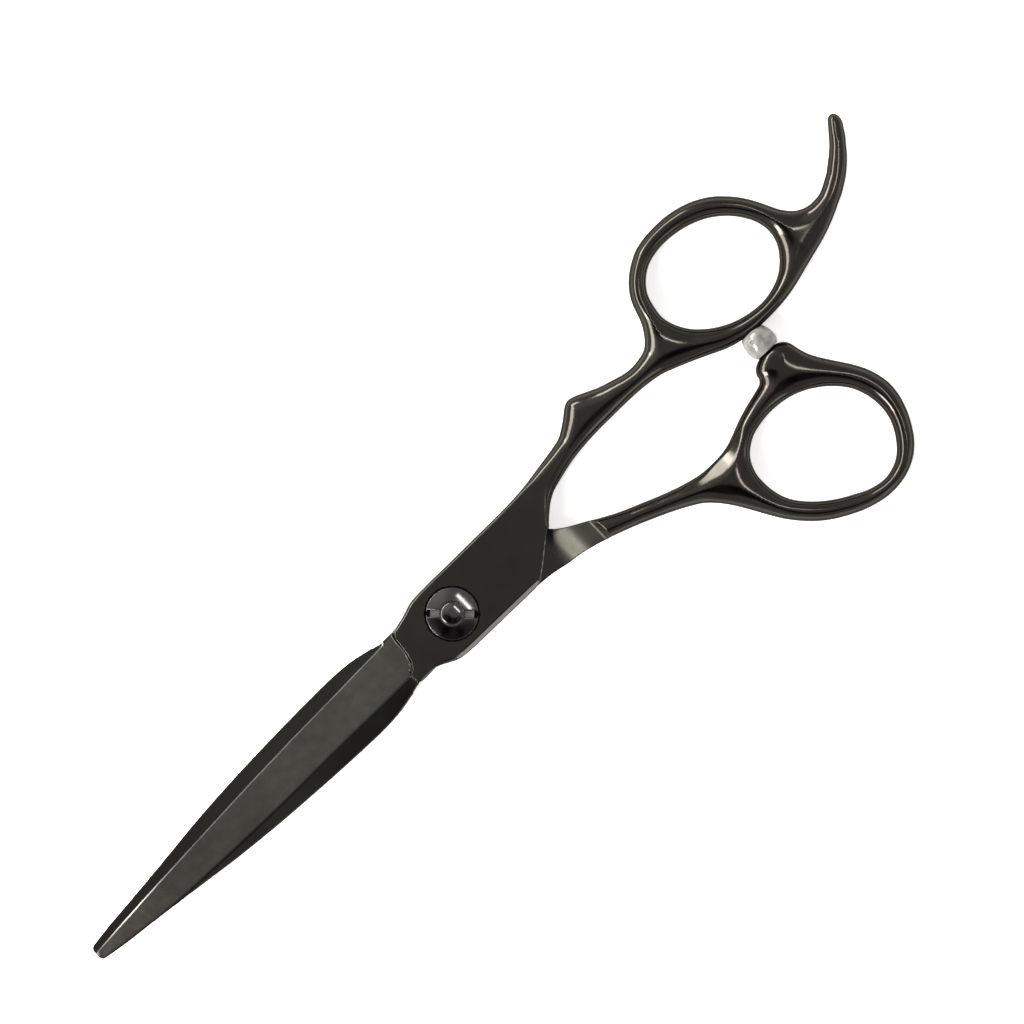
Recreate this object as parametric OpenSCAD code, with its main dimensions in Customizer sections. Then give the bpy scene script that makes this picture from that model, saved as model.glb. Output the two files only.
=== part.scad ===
// Hair cutting shears, closed.
// The pivot axis is Z, the blades point along +X, and the finger half is on top.
// Z = 0 is the outer face of the rear half, on which the shears lie.

/* [Blades] */
// Distance from the pivot axis to the tip of the front blade
tip_x = 74.7; // [68:0.1:88]
// Thickness of each half at the pivot
half_t = 2.65; // [2.5:0.05:3]
// Gap between the inner faces of the two halves
parting_gap = 0.1; // [0.06:0.02:0.2]
// Thickness of the honed edge
edge_t = 0.15; // [0.1:0.01:0.3]
// Angle by which the rear blade stands out from below the front blade, in degrees
rear_lead = 0.3; // [0:0.1:0.5]
// Width of the bevel along the spine side of the pivot pad
bevel_w = 0.8; // [0.4:0.1:1.2]

/* [Handles] */
// Height of the underside of the rings above the resting plane
ring_low = 0.3; // [0.2:0.1:0.8]
// Height of the top of the rings above the resting plane
ring_high = 5.1; // [4.6:0.1:5.4]
// Squareness of the round sections, where 2 is an ellipse
roundness = 2.3; // [2:0.1:3]
// Points around each round section
section_points = 16; // [12:2:24]

/* [Pivot] */
// Radius of the tension nut
nut_r = 4.0; // [3.8:0.1:4.2]
// Width of the driving slot across the nut
slot_w = 1.1; // [0.8:0.1:1.4]
// Depth of the driving slot
slot_depth = 0.55; // [0.3:0.05:0.7]
// Direction of the driving slot in degrees from +X
slot_turn = -45; // [-90:5:90]
// Radius of the stud's bearing journal
journal_r = 2.25; // [2.1:0.05:2.3]
// Outside radius of the stud's thread, modelled plain
thread_r = 1.75; // [1.6:0.05:1.8]
// Radius of the stud's flat rear head
head_r = 3.7; // [3.2:0.1:4]
// Thickness of the stud's rear head
head_t = 0.9; // [0.6:0.1:1.1]
// Height of the domed end above the nut's bore
dome_h = 0.6; // [0.4:0.1:0.8]
// Radius of each bearing ball
ball_r = 0.4; // [0.35:0.01:0.4]
// Number of bearing balls
ball_count = 10; // [6:1:14]
// Radius of the circle that the balls run on
ball_circle_r = 3.3; // [3.25:0.05:3.35]

/* [Bumper] */
// Largest radius of the bumper
bumper_r = 2.6; // [2.3:0.05:2.65]
// Radius of the plug that holds it in the boss
plug_r = 1.2; // [0.9:0.1:1.5]
// Length of the plug
plug_l = 2.4; // [1.5:0.1:3]

/* [Hidden] */
$fn = 96;

BLACK_STEEL = [0.13, 0.13, 0.14];
BRIGHT_STEEL = [0.7, 0.7, 0.72];
NYLON = [0.9, 0.9, 0.86];
SILICONE = [0.78, 0.78, 0.74];

// Heights
rear_top = half_t;
front_low = half_t + parting_gap;
front_high = front_low + half_t;
mid_z = (rear_top + front_low) / 2;
overlap = 0.5;

// Heights of the pivot's stack, from the front half's counterbore upwards
seat_z = front_low + 0.75;
race_t = 0.35;
race_gap = 0.5;
ball_z = seat_z + race_t + race_gap / 2;
upper_race_z = seat_z + race_t + race_gap;
spring_z = upper_race_z + race_t;
spring_h = 0.25;
spring_t = 0.14;
key_z = spring_z + spring_h;
key_t = 0.2;
key_travel = 0.3;
nut_z = key_z + key_t;
nut_rim_z = nut_z + 0.75;
nut_top_z = nut_z + 1.2;

// Fits
running = 0.04;
face_gap = 0.01;
counterbore_r = nut_r + 0.2;
bushing_r = journal_r + 0.75;
flat_r = journal_r - 0.35;
key_flat_r = thread_r - 0.3;
slip_recess = 0.25;
slip_r = head_r + 0.3;
cage_t = 0.2;

// Where the tapering part of the blade starts, inside the pivot pad
heel_x = 7;
// Distance from heel_x to the tip in the stations below
blade_l = 67.7;

// Stations along the blade, with the inner face at Z = 0 and the spine towards +Y:
// [X, Y of the cutting edge, Y of the ridge, Y of the spine, height of the ridge, height of the spine]
BLADE = [
    [7, -3.9, 2.2, 3.8, 2.3, 1.9],
    [12, -3.85, 2.5, 4.3, 2.3, 1.7],
    [16, -3.7, 2.6, 5.3, 2.25, 1.35],
    [20, -3.55, 2.6, 5.6, 2.2, 1.2],
    [30, -3.25, 2.7, 5.35, 2.05, 1.1],
    [40, -2.8, 2.85, 4.85, 1.85, 1.1],
    [50, -2.2, 2.75, 4.05, 1.6, 1.1],
    [60, -1.6, 2.5, 2.8, 1.3, 1.2],
    [68, -1.0, 1.8, 2.0, 1.1, 1.05],
    [73, -0.6, 1.2, 1.4, 0.9, 0.85],
    [74.4, -0.4, 0.8, 0.95, 0.8, 0.75],
    [74.7, 0.0, 0.25, 0.4, 0.6, 0.55]
];

// Edges of the pivot pad, with the spine towards +Y
PAD_SPINE_EDGE = [[10.2, 4.05], [8.6, 4.05], [7, 4.3], [5.3, 5.2], [4, 5.7], [2.5, 5.95], [0, 6]];
PAD_CORNER = [[-11.6, 6], [-12.6, 5.9]];
PAD_EDGE_SIDE = [[0, -5.9], [2.5, -5.8], [4, -5.5], [5.3, -5.1], [7, -4.6], [8.3, -4.2]];
PAD_STEP = [[8.3, -4.2], [9, -2], [9.3, 0], [10, 1.7], [11, 2.4]];
// Rear end of the pad on the crotch side and on the outer side, front half then rear half
FRONT_CROTCH = [[-13.2, 5.6], [-16, 3.6], [-18, 1.9], [-20, 0.4], [-22, -1.4]];
FRONT_OUTER = [[-22, -6.5], [-18, -6.1], [-12, -5.95], [-6, -5.9], [0, -5.9]];
REAR_CROTCH = [[-13.2, 5.6], [-16, 3.4], [-18, 1.2], [-20, -1.5], [-22, -2.8]];
REAR_OUTER = [[-22, -7.4], [-19, -6.95], [-16, -6.3], [-12, -6], [0, -5.9]];

// Stations of each round handle section:
// [X and Y of one edge, X and Y of the other edge, low Z, high Z, squareness]
lo = ring_low;
hi = ring_high;
sq = roundness;
FINGER_SHANK = [
    [-22, -6.5, -22, -1.4, front_low, front_high, 10],
    [-25, -7, -25, -3, 2, 5.35, 5],
    [-28, -7.5, -28, -3.75, 0.7, 5.25, 3],
    [-31.4, -8.8, -31, -4.3, lo, hi, sq],
    [-35, -11.1, -34.5, -4.6, lo, hi, sq],
    [-39.5, -9.4, -38.5, -4.65, lo, hi, sq],
    [-43.5, -8.2, -43, -4.6, lo, hi, sq],
    [-47.3, -8.25, -47.5, -4.3, lo, hi, sq],
    [-50.3, -10.4, -51.5, -2.8, lo, hi, sq],
    [-51.6, -13.2, -54.7, -1.4, lo, hi, sq],
    [-52.4, -15.1, -57, -0.5, lo + 0.4, hi - 0.4, sq]
];
FINGER_RING = [
    [-54.2, -11.8, -51.4, -12.6, lo, hi, sq],
    [-55.8, -15.6, -53.1, -16.5, lo, hi, sq],
    [-58.9, -17.7, -57, -19.9, lo, hi, sq],
    [-62.8, -18.1, -62.6, -21.1, lo, hi, sq],
    [-67, -17.3, -68, -20.4, lo, hi, sq],
    [-70.9, -15.3, -73.2, -17.4, lo, hi, sq],
    [-73.6, -12.3, -76.4, -13.3, lo, hi, sq],
    [-74.8, -8.9, -77.8, -8.9, lo, hi, sq],
    [-74, -5.6, -76.8, -4.2, lo, hi, sq],
    [-71.3, -2.75, -73, 0, lo, hi, sq],
    [-67.5, -1.5, -68, 1, lo, hi, sq],
    [-63, -1.8, -62.2, 0.7, lo, hi, sq],
    [-59, -3.4, -57.6, -0.2, lo, hi, sq],
    [-55.8, -6.2, -53.6, -4.4, lo, hi, sq],
    [-54.3, -9.2, -51.6, -8.9, lo, hi, sq]
];
FINGER_REST = [
    [-77, -12.2, -72.6, -0.4, lo + 0.4, hi - 0.4, sq],
    [-78.2, -9.8, -75.5, -0.7, lo + 0.1, hi - 0.1, sq],
    [-80, -7.9, -79, -1.6, 0.5, 4.9, sq],
    [-82.5, -7.1, -82.3, -2.8, 0.6, 4.8, sq],
    [-85.6, -7.9, -86.2, -4.6, 0.8, 4.6, sq],
    [-88.4, -9.7, -90, -7.1, 0.9, 4.5, sq],
    [-90.6, -11.7, -92.6, -10, 1, 4.4, sq],
    [-92.3, -13.7, -94.2, -12.4, 1.1, 4.3, sq],
    [-93, -14.5, -94.6, -13.6, 1.3, 4.1, sq],
    [-93.6, -14.7, -94.3, -14.4, 2, 3.4, 2]
];
THUMB_SHANK = [
    [-22, 2.8, -22, 7.4, 0, rear_top, 10],
    [-25, 4.4, -25, 8.3, 0.1, 3.4, 5],
    [-28, 6, -28, 9.35, 0.2, 4.7, 3],
    [-31.5, 7.6, -31, 10.4, lo, hi, sq],
    [-36, 9.3, -35, 12.2, lo, hi, sq],
    [-41, 10.8, -38.5, 14.1, lo, hi, sq],
    [-45, 10.9, -41, 16.3, lo, hi, sq],
    [-48.6, 10.2, -42.6, 18.5, lo, hi, sq],
    [-51.8, 9, -44, 21, lo + 0.4, hi - 0.4, sq]
];
THUMB_RING = [
    [-47.8, 18, -43.4, 19.8, lo, hi, sq],
    [-48.4, 15.2, -45.2, 13.6, lo, hi, sq],
    [-50.2, 13.1, -48.6, 10.8, lo, hi, sq],
    [-53.2, 11.9, -52.4, 8.8, lo, hi, sq],
    [-56.8, 11.5, -56.8, 7.6, lo, hi, sq],
    [-60.5, 12.2, -61.6, 8.2, lo, hi, sq],
    [-64.1, 14.1, -66.8, 10.8, lo, hi, sq],
    [-66.8, 16.8, -70, 15, lo, hi, sq],
    [-68.3, 19.8, -71.8, 19.4, lo, hi, sq],
    [-68.4, 23.6, -71.7, 23.8, lo, hi, sq],
    [-66.8, 27.5, -69.7, 28.4, lo, hi, sq],
    [-63.6, 30.2, -65.1, 32.3, lo, hi, sq],
    [-60, 30.6, -59.8, 33.1, lo, hi, sq],
    [-55.5, 28.7, -54.2, 31.3, lo, hi, sq],
    [-51.4, 25.8, -49.4, 28.2, lo, hi, sq],
    [-48.8, 22.6, -46, 24.4, lo, hi, sq]
];

BOSS = [
    [-59.5, 4.5, -64.7, 4.5, lo, hi, 2],
    [-58.3, 6.1, -65.3, 6.1, lo, hi, 2],
    [-57.3, 7.6, -66, 8.2, lo, hi, sq],
    [-55.5, 9.4, -67.6, 11.6, lo + 0.3, hi - 0.3, sq]
];

// Bumper and its boss, along an axis parallel to Y
boss_x = -62.1;
boss_top_y = 4.5;
bumper_tip_y = 0.72;
tip_l = 1.9;

// Smooth curve through four points, at u from 0 at b to 1 at c
function blend4(a, b, c, d, u) =
    0.5 * (2 * b + (c - a) * u + (2 * a - 5 * b + 4 * c - d) * u * u + (3 * b - a - 3 * c + d) * u * u * u);

function open_at(p, t) =
    let (n = len(p), i = min(floor(t), n - 2))
    blend4(p[max(i - 1, 0)], p[i], p[i + 1], p[min(i + 2, n - 1)], t - i);

function ring_at(p, t) =
    let (n = len(p), i = floor(t))
    blend4(p[(i + n - 1) % n], p[i % n], p[(i + 1) % n], p[(i + 2) % n], t - i);

// Curves through the points p with the given number of steps between two points.
// lead_in() leaves the last point out, for where the next curve starts.
function curve(p, steps) = [for (k = [0:(len(p) - 1) * steps]) open_at(p, k / steps)];
function lead_in(p, steps) = [for (k = [0:(len(p) - 1) * steps - 1]) open_at(p, k / steps)];
function ring_curve(p, steps) = [for (k = [0:len(p) * steps - 1]) ring_at(p, k / steps)];

// Sine or cosine drawn out towards a square
function squared(v, s) = sign(v) * pow(abs(v), 2 / s);

// Round section between the two edges of a station
function section(s) = [
    for (k = [0:section_points - 1])
        let (
            angle = 360 * k / section_points,
            across = squared(cos(angle), s[6]) / 2,
            up = squared(sin(angle), s[6]) / 2
        )
        [
            (s[0] + s[2]) / 2 + (s[2] - s[0]) * across,
            (s[1] + s[3]) / 2 + (s[3] - s[1]) * across,
            (s[4] + s[5]) / 2 + (s[5] - s[4]) * up
        ]
];

// Skin over a row of sections with the same number of points, turned right side out
module loft(sections, closed = false) {
    n = len(sections);
    m = len(sections[0]);
    points = [for (s = sections, p = s) p];
    last = closed ? n - 1 : n - 2;
    sides = [
        for (i = [0:last], j = [0:m - 1])
            let (a = i * m + j, b = i * m + (j + 1) % m, c = ((i + 1) % n) * m + (j + 1) % m, d = ((i + 1) % n) * m + j)
            each [[a, b, c], [a, c, d]]
    ];
    caps = closed ? [] : [
        for (j = [1:m - 2]) each [[0, j + 1, j], [(n - 1) * m, (n - 1) * m + j, (n - 1) * m + j + 1]]
    ];
    faces = concat(sides, caps);
    volumes = [for (f = faces) points[f[0]] * cross(points[f[1]], points[f[2]])];
    inside_out = volumes * [for (v = volumes) 1] > 0;
    polyhedron(points, inside_out ? [for (f = faces) [f[2], f[1], f[0]]] : faces, convexity = 8);
}

module ring_at_z(z, h, r_in, r_out) {
    translate([0, 0, z])
        rotate_extrude()
            translate([r_in, 0])
                square([r_out - r_in, h]);
}

// Round bar with two flats, for keyed necks and holes
module keyed_bar(z, h, r, flat) {
    translate([0, 0, z])
        intersection() {
            cylinder(r = r, h = h);
            translate([-flat, -r - overlap, -overlap])
                cube([2 * flat, 2 * (r + overlap), h + 2 * overlap]);
        }
}

function blade_section(s) =
    let (x = heel_x + (s[0] - heel_x) * (tip_x - heel_x) / blade_l)
    [
        [x, s[1], 0],
        [x, s[1], edge_t],
        [x, s[2], s[4]],
        [x, s[3], s[5]],
        [x, s[3], 0]
    ];

// Cutter that bevels the top edge of the pad along a row of edge points
module bevel_cutter(edge) {
    n = len(edge);
    loft([
        for (i = [0:n - 1])
            let (
                run = edge[min(i + 1, n - 1)] - edge[max(i - 1, 0)],
                out = [run[1], -run[0]] / norm(run),
                far = edge[i] + out * overlap,
                near = edge[i] - out * bevel_w
            )
            [
                [far[0], far[1], half_t - bevel_w],
                [far[0], far[1], half_t + overlap],
                [near[0], near[1], half_t + overlap],
                [near[0], near[1], half_t],
                [edge[i][0], edge[i][1], half_t - bevel_w * 0.7]
            ]
    ]);
}

// One blade with its pivot pad: inner face at Z = 0, spine towards +Y
module blade_blank(crotch, outer, lead) {
    spine_edge = curve(PAD_SPINE_EDGE, 3);
    corner = curve(concat(PAD_CORNER, crotch), 3);
    difference() {
        union() {
            linear_extrude(half_t)
                polygon(concat(
                    spine_edge,
                    corner,
                    lead_in(outer, 2),
                    lead_in(PAD_EDGE_SIDE, 3),
                    curve(PAD_STEP, 3)
                ));
            rotate([0, 0, lead])
                loft([for (s = curve(BLADE, 2)) blade_section(s)]);
        }
        bevel_cutter([for (p = concat(spine_edge, corner)) if (p[0] < 8.5) p]);
    }
}

module front_blade() {
    color(BLACK_STEEL)
        difference() {
            translate([0, 0, front_low])
                blade_blank(FRONT_CROTCH, FRONT_OUTER, 0);
            translate([0, 0, front_low - overlap])
                cylinder(r = bushing_r, h = half_t + 2 * overlap);
            translate([0, 0, seat_z])
                cylinder(r = counterbore_r, h = half_t);
        }
}

module rear_blade() {
    color(BLACK_STEEL)
        difference() {
            translate([0, 0, rear_top])
                rotate([180, 0, 0])
                    blade_blank(REAR_CROTCH, REAR_OUTER, rear_lead);
            translate([0, 0, -overlap])
                cylinder(r = head_r, h = head_t + overlap);
            keyed_bar(0, half_t + overlap, journal_r, flat_r);
            translate([0, 0, rear_top - slip_recess])
                cylinder(r = slip_r, h = half_t);
        }
}

module finger_handle() {
    color(BLACK_STEEL) {
        loft([for (s = curve(FINGER_SHANK, 3)) section(s)]);
        loft([for (s = ring_curve(FINGER_RING, 3)) section(s)], closed = true);
        loft([for (s = curve(FINGER_REST, 2)) section(s)]);
    }
}

module thumb_handle() {
    color(BLACK_STEEL)
        difference() {
            union() {
                loft([for (s = curve(THUMB_SHANK, 3)) section(s)]);
                loft([for (s = ring_curve(THUMB_RING, 3)) section(s)], closed = true);
                loft([for (s = curve(BOSS, 3)) section(s)]);
            }
            translate([boss_x, boss_top_y - overlap, mid_z])
                rotate([-90, 0, 0])
                    cylinder(r = plug_r, h = plug_l + overlap);
        }
}

module pivot_stud() {
    color(BLACK_STEEL) {
        cylinder(r = head_r, h = head_t);
        keyed_bar(0, half_t, journal_r, flat_r);
        translate([0, 0, rear_top])
            cylinder(r = journal_r, h = spring_z - rear_top);
        keyed_bar(spring_z, nut_z - spring_z + key_travel, thread_r, key_flat_r);
        translate([0, 0, nut_z + key_travel])
            cylinder(r = thread_r, h = nut_top_z - nut_z - key_travel - 0.05);
        stud_dome();
    }
}

module stud_dome() {
    base_z = nut_top_z - 0.05;
    sphere_r = (thread_r * thread_r + dome_h * dome_h) / (2 * dome_h);
    translate([0, 0, base_z])
        intersection() {
            translate([0, 0, dome_h - sphere_r])
                sphere(r = sphere_r);
            cylinder(r = thread_r, h = dome_h);
        }
}

module tension_nut() {
    bore_r = thread_r + running;
    color(BLACK_STEEL)
        difference() {
            translate([0, 0, nut_z + face_gap])
                rotate_extrude()
                    polygon([
                        [bore_r, 0],
                        [nut_r - 0.15, 0],
                        [nut_r, 0.15],
                        [nut_r, nut_rim_z - nut_z - 0.1],
                        [nut_r - 0.12, nut_rim_z - nut_z],
                        [nut_r - 1, nut_top_z - nut_z - 0.12],
                        [bore_r + 0.25, nut_top_z - nut_z - face_gap],
                        [bore_r, nut_top_z - nut_z - 0.25]
                    ]);
            rotate([0, 0, slot_turn])
                translate([-nut_r - 1, -slot_w / 2, nut_top_z - slot_depth])
                    cube([2 * nut_r + 2, slot_w, slot_depth + 1]);
        }
}

module keyed_washer() {
    color(BRIGHT_STEEL)
        difference() {
            translate([0, 0, key_z])
                cylinder(r = nut_r - 0.1, h = key_t);
            keyed_bar(key_z - overlap, key_t + 2 * overlap, thread_r + running, key_flat_r + running);
        }
}

module spring_washer() {
    color(BRIGHT_STEEL)
        translate([0, 0, spring_z + face_gap])
            rotate_extrude()
                polygon([
                    [thread_r + 0.2, spring_h - spring_t - 2 * face_gap],
                    [nut_r - 0.2, 0],
                    [nut_r - 0.2, spring_t],
                    [thread_r + 0.2, spring_h - 2 * face_gap]
                ]);
}

// Race with a groove for the balls
module race(z, r_in, r_out) {
    color(BRIGHT_STEEL)
        difference() {
            ring_at_z(z, race_t, r_in, r_out);
            translate([0, 0, ball_z])
                rotate_extrude()
                    translate([ball_circle_r, 0])
                        circle(r = ball_r + running);
        }
}

module upper_race() {
    race(upper_race_z, journal_r + running, counterbore_r - 0.1);
}

module lower_race() {
    race(seat_z, journal_r + 2 * running, counterbore_r - running);
}

module ball_cage() {
    color(NYLON)
        difference() {
            ring_at_z(ball_z - cage_t / 2, cage_t, journal_r + 2 * running, counterbore_r - 0.1);
            for (i = [1:ball_count])
                rotate([0, 0, i * 360 / ball_count])
                    translate([ball_circle_r, 0, ball_z - cage_t])
                        cylinder(r = ball_r + running, h = 2 * cage_t);
        }
}

module ball(i) {
    color(BRIGHT_STEEL)
        rotate([0, 0, i * 360 / ball_count])
            translate([ball_circle_r, 0, ball_z])
                sphere(r = ball_r);
}

module pivot_bushing() {
    color(NYLON)
        ring_at_z(front_low, seat_z - front_low, journal_r + running, bushing_r);
}

module slip_washer() {
    color(NYLON)
        ring_at_z(rear_top - slip_recess, slip_recess + parting_gap - face_gap, journal_r, slip_r - face_gap);
}

// Profile of the bumper: a round end on a slightly waisted body, with its plug
module bumper() {
    base = boss_top_y - bumper_tip_y;
    round_end = [for (a = [0:10:90]) [bumper_r * sin(a), base - tip_l + tip_l * cos(a)]];
    color(SILICONE)
        translate([boss_x, boss_top_y, mid_z])
            rotate([90, 0, 0])
                rotate_extrude()
                    polygon(concat(
                        round_end,
                        [[bumper_r - 0.15, 0.3], [bumper_r - 0.2, 0], [plug_r, 0], [plug_r, 0.1 - plug_l], [0, 0.1 - plug_l]]
                    ));
}

front_blade();
finger_handle();
rear_blade();
thumb_handle();
pivot_stud();
tension_nut();
keyed_washer();
spring_washer();
upper_race();
lower_race();
ball_cage();
for (i = [1:ball_count])
    ball(i);
pivot_bushing();
slip_washer();
bumper();
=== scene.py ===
import math

import bmesh
import bpy
import numpy as np
from mathutils import Matrix, Vector, kdtree


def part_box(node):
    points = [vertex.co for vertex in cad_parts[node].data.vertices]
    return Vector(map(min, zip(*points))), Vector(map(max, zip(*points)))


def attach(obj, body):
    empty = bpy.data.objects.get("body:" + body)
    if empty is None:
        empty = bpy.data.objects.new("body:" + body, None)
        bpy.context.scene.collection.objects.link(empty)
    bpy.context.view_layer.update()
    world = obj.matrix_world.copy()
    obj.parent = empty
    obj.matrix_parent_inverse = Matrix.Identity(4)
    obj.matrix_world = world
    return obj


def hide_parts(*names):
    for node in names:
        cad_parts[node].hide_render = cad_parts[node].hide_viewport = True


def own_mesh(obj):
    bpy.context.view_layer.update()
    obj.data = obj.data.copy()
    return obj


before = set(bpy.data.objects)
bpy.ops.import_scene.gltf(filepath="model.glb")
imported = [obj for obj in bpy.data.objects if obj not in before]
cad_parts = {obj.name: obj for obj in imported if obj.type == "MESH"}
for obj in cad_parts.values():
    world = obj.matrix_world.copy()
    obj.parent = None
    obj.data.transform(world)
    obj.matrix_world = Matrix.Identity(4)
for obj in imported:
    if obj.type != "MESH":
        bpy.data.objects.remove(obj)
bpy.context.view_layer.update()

# Shapes are in millimetres, in the frame of the part: the pivot axis is Z and the blades point along +X
MM = 0.001

# Heights of the halves
front_low, front_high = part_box("front_blade")
rear_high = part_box("rear_blade")[1]
FRONT_LOW = front_low.z / MM
FRONT_HIGH = front_high.z / MM
REAR_TOP = rear_high.z / MM
MID_Z = (FRONT_LOW + REAR_TOP) / 2
HALF_H = FRONT_HIGH - MID_Z
GAP = FRONT_LOW - MID_Z
# Where a handle is welded to its blade
WELD_X = -22.0


# ---------------------------------------------------------------- curves

def mix_over(t, start, end, a, b):
    """From a to b as t goes from start to end."""
    return (end - t) / (end - start) * a + (t - start) / (end - start) * b


def spline(points, step=0.1):
    """Centripetal Catmull-Rom curve through the points, with samples about step apart."""
    p = np.array(points, float)
    p = np.vstack([2 * p[0] - p[1], p, 2 * p[-1] - p[-2]])
    out = []
    for i in range(1, len(p) - 2):
        a, b, c, d = p[i - 1:i + 3]
        t0 = 0.0
        t1 = t0 + math.sqrt(np.linalg.norm(b - a))
        t2 = t1 + math.sqrt(np.linalg.norm(c - b))
        t3 = t2 + math.sqrt(np.linalg.norm(d - c))
        n = max(1, int(np.linalg.norm(c - b) / step))
        t = np.linspace(t1, t2, n, endpoint=False)[:, None]
        ab = mix_over(t, t0, t1, a, b)
        bc = mix_over(t, t1, t2, b, c)
        cd = mix_over(t, t2, t3, c, d)
        out.append(mix_over(t, t1, t2, mix_over(t, t0, t2, ab, bc), mix_over(t, t1, t3, bc, cd)))
    return np.vstack(out + [p[-2:-1]])


def ring_spline(points, step=0.1):
    """The same for a closed curve."""
    n = len(points)
    wrapped = [points[(i - 2) % n] for i in range(n + 5)]
    full = spline(wrapped, step)
    first = int(np.argmin(np.linalg.norm(full - np.array(points[0], float), axis=1)))
    rest = full[first:]
    # the curve passes the first point again one turn later
    away = np.linalg.norm(rest - rest[0], axis=1)
    far = int(np.argmax(away))
    last = far + int(np.argmin(away[far:]))
    return rest[:last]


class Outline:
    """Closed curves in plan, with the distance to them and values carried along them."""

    def __init__(self, loops, tags):
        self.loops = loops
        self.points = np.vstack(loops)
        self.prev = np.concatenate([np.roll(np.arange(len(l)), 1) + o for l, o in self._offsets()])
        self.next = np.concatenate([np.roll(np.arange(len(l)), -1) + o for l, o in self._offsets()])
        self.tags = tags
        self.tree = kdtree.KDTree(len(self.points))
        for i, (x, y) in enumerate(self.points):
            self.tree.insert((x, y, 0), i)
        self.tree.balance()

    def _offsets(self):
        start = 0
        for l in self.loops:
            yield l, start
            start += len(l)

    def distance(self, x, y):
        """Signed distance, positive inside, and the tags of the nearest place."""
        flat = np.column_stack([np.ravel(x), np.ravel(y)])
        find = self.tree.find
        near = np.array([find((px, py, 0))[1] for px, py in flat.tolist()])
        best = np.full(len(flat), 1e9)
        sign = np.ones(len(flat))
        tags = [np.zeros(len(flat)) for _ in self.tags]
        for a, b in ((self.prev[near], near), (near, self.next[near])):
            pa, pb = self.points[a], self.points[b]
            run = pb - pa
            t = np.clip(((flat - pa) * run).sum(1) / np.maximum((run * run).sum(1), 1e-12), 0, 1)
            off = flat - (pa + run * t[:, None])
            d = np.hypot(off[:, 0], off[:, 1])
            side = run[:, 0] * off[:, 1] - run[:, 1] * off[:, 0]
            nearer = d < best - 1e-9
            # at a corner, the side with the larger lean decides
            tie = (~nearer) & (d < best + 1e-6)
            best = np.where(nearer, d, best)
            strength = side / np.maximum(np.hypot(run[:, 0], run[:, 1]), 1e-12)
            if a is not near:
                first = strength
            sign = np.where(nearer, np.sign(strength), sign)
            sign = np.where(tie & (np.abs(strength) > np.abs(first)), np.sign(strength), sign)
            for k, values in enumerate(self.tags):
                tags[k] = np.where(nearer, values[a] * (1 - t) + values[b] * t, tags[k])
        sign = np.where(sign == 0, 1, sign)
        shape = np.shape(x)
        return (best * sign).reshape(shape), [t.reshape(shape) for t in tags]


def turned(loop, inside_left=True):
    """The loop with its inside on the left, or on the right for a hole."""
    x, y = loop[:, 0], loop[:, 1]
    area = (x * np.roll(y, -1) - np.roll(x, -1) * y).sum()
    return loop if (area > 0) == inside_left else loop[::-1]


def smooth_max(a, b, k):
    """The larger of two fields, blended over k: the two solids' common part with a rounded edge."""
    h = np.clip(0.5 + 0.5 * (a - b) / k, 0, 1)
    return b + (a - b) * h + k * h * (1 - h)


# ---------------------------------------------------------------- meshing of solids given by a field

def surface_net(value, xs, ys, zs):
    """Vertices and quads around the zero level of a field that is negative inside."""
    inside = value < 0
    nx, ny, nz = value.shape
    total = np.zeros((nx - 1, ny - 1, nz - 1, 3))
    count = np.zeros((nx - 1, ny - 1, nz - 1))
    grid = [xs, ys, zs]
    for axis in range(3):
        lo = [slice(None)] * 3
        hi = [slice(None)] * 3
        lo[axis], hi[axis] = slice(None, -1), slice(1, None)
        v0, v1 = value[tuple(lo)], value[tuple(hi)]
        cross = inside[tuple(lo)] != inside[tuple(hi)]
        t = np.where(cross, v0 / np.where(cross, v0 - v1, 1), 0)
        place = []
        for k in range(3):
            shape = [1, 1, 1]
            shape[k] = -1
            if k == axis:
                g = grid[k][:-1].reshape(shape) + t * (grid[k][1] - grid[k][0])
            else:
                g = np.broadcast_to(grid[k].reshape(shape), cross.shape)
            place.append(g * cross)
        others = [k for k in range(3) if k != axis]
        for da in (0, 1):
            for db in (0, 1):
                cut = [slice(None)] * 3
                cut[others[0]] = slice(da, value.shape[others[0]] - 1 + da)
                cut[others[1]] = slice(db, value.shape[others[1]] - 1 + db)
                cut = tuple(cut)
                for k in range(3):
                    total[..., k] += place[k][cut]
                count += cross[cut]
    active = count > 0
    index = np.full(active.shape, -1)
    index[active] = np.arange(active.sum())
    verts = total[active] / count[active][:, None]
    faces = []
    for axis in range(3):
        a, b = (axis + 1) % 3, (axis + 2) % 3
        lo = [slice(1, -1)] * 3
        hi = [slice(1, -1)] * 3
        lo[axis], hi[axis] = slice(None, -1), slice(1, None)
        i0, i1 = inside[tuple(lo)], inside[tuple(hi)]
        where = np.argwhere(i0 != i1)
        outward = i0[tuple(where.T)]
        base = where.copy()
        base[:, a] += 1
        base[:, b] += 1
        quad = []
        for da, db in ((-1, -1), (0, -1), (0, 0), (-1, 0)):
            c = base.copy()
            c[:, a] += da
            c[:, b] += db
            quad.append(index[tuple(c.T)])
        quad = np.column_stack(quad)
        quad[~outward] = quad[~outward][:, ::-1]
        faces.append(quad)
    return verts, np.vstack(faces)


def field_normals(field, p, e=0.004):
    """Gradient of the field at each point, by central differences."""
    g = np.empty_like(p)
    for k in range(3):
        q = p.copy()
        q[:, k] += e
        g[:, k] = field(*q.T)
        q[:, k] -= 2 * e
        g[:, k] -= field(*q.T)
    return g / (2 * e)


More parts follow.
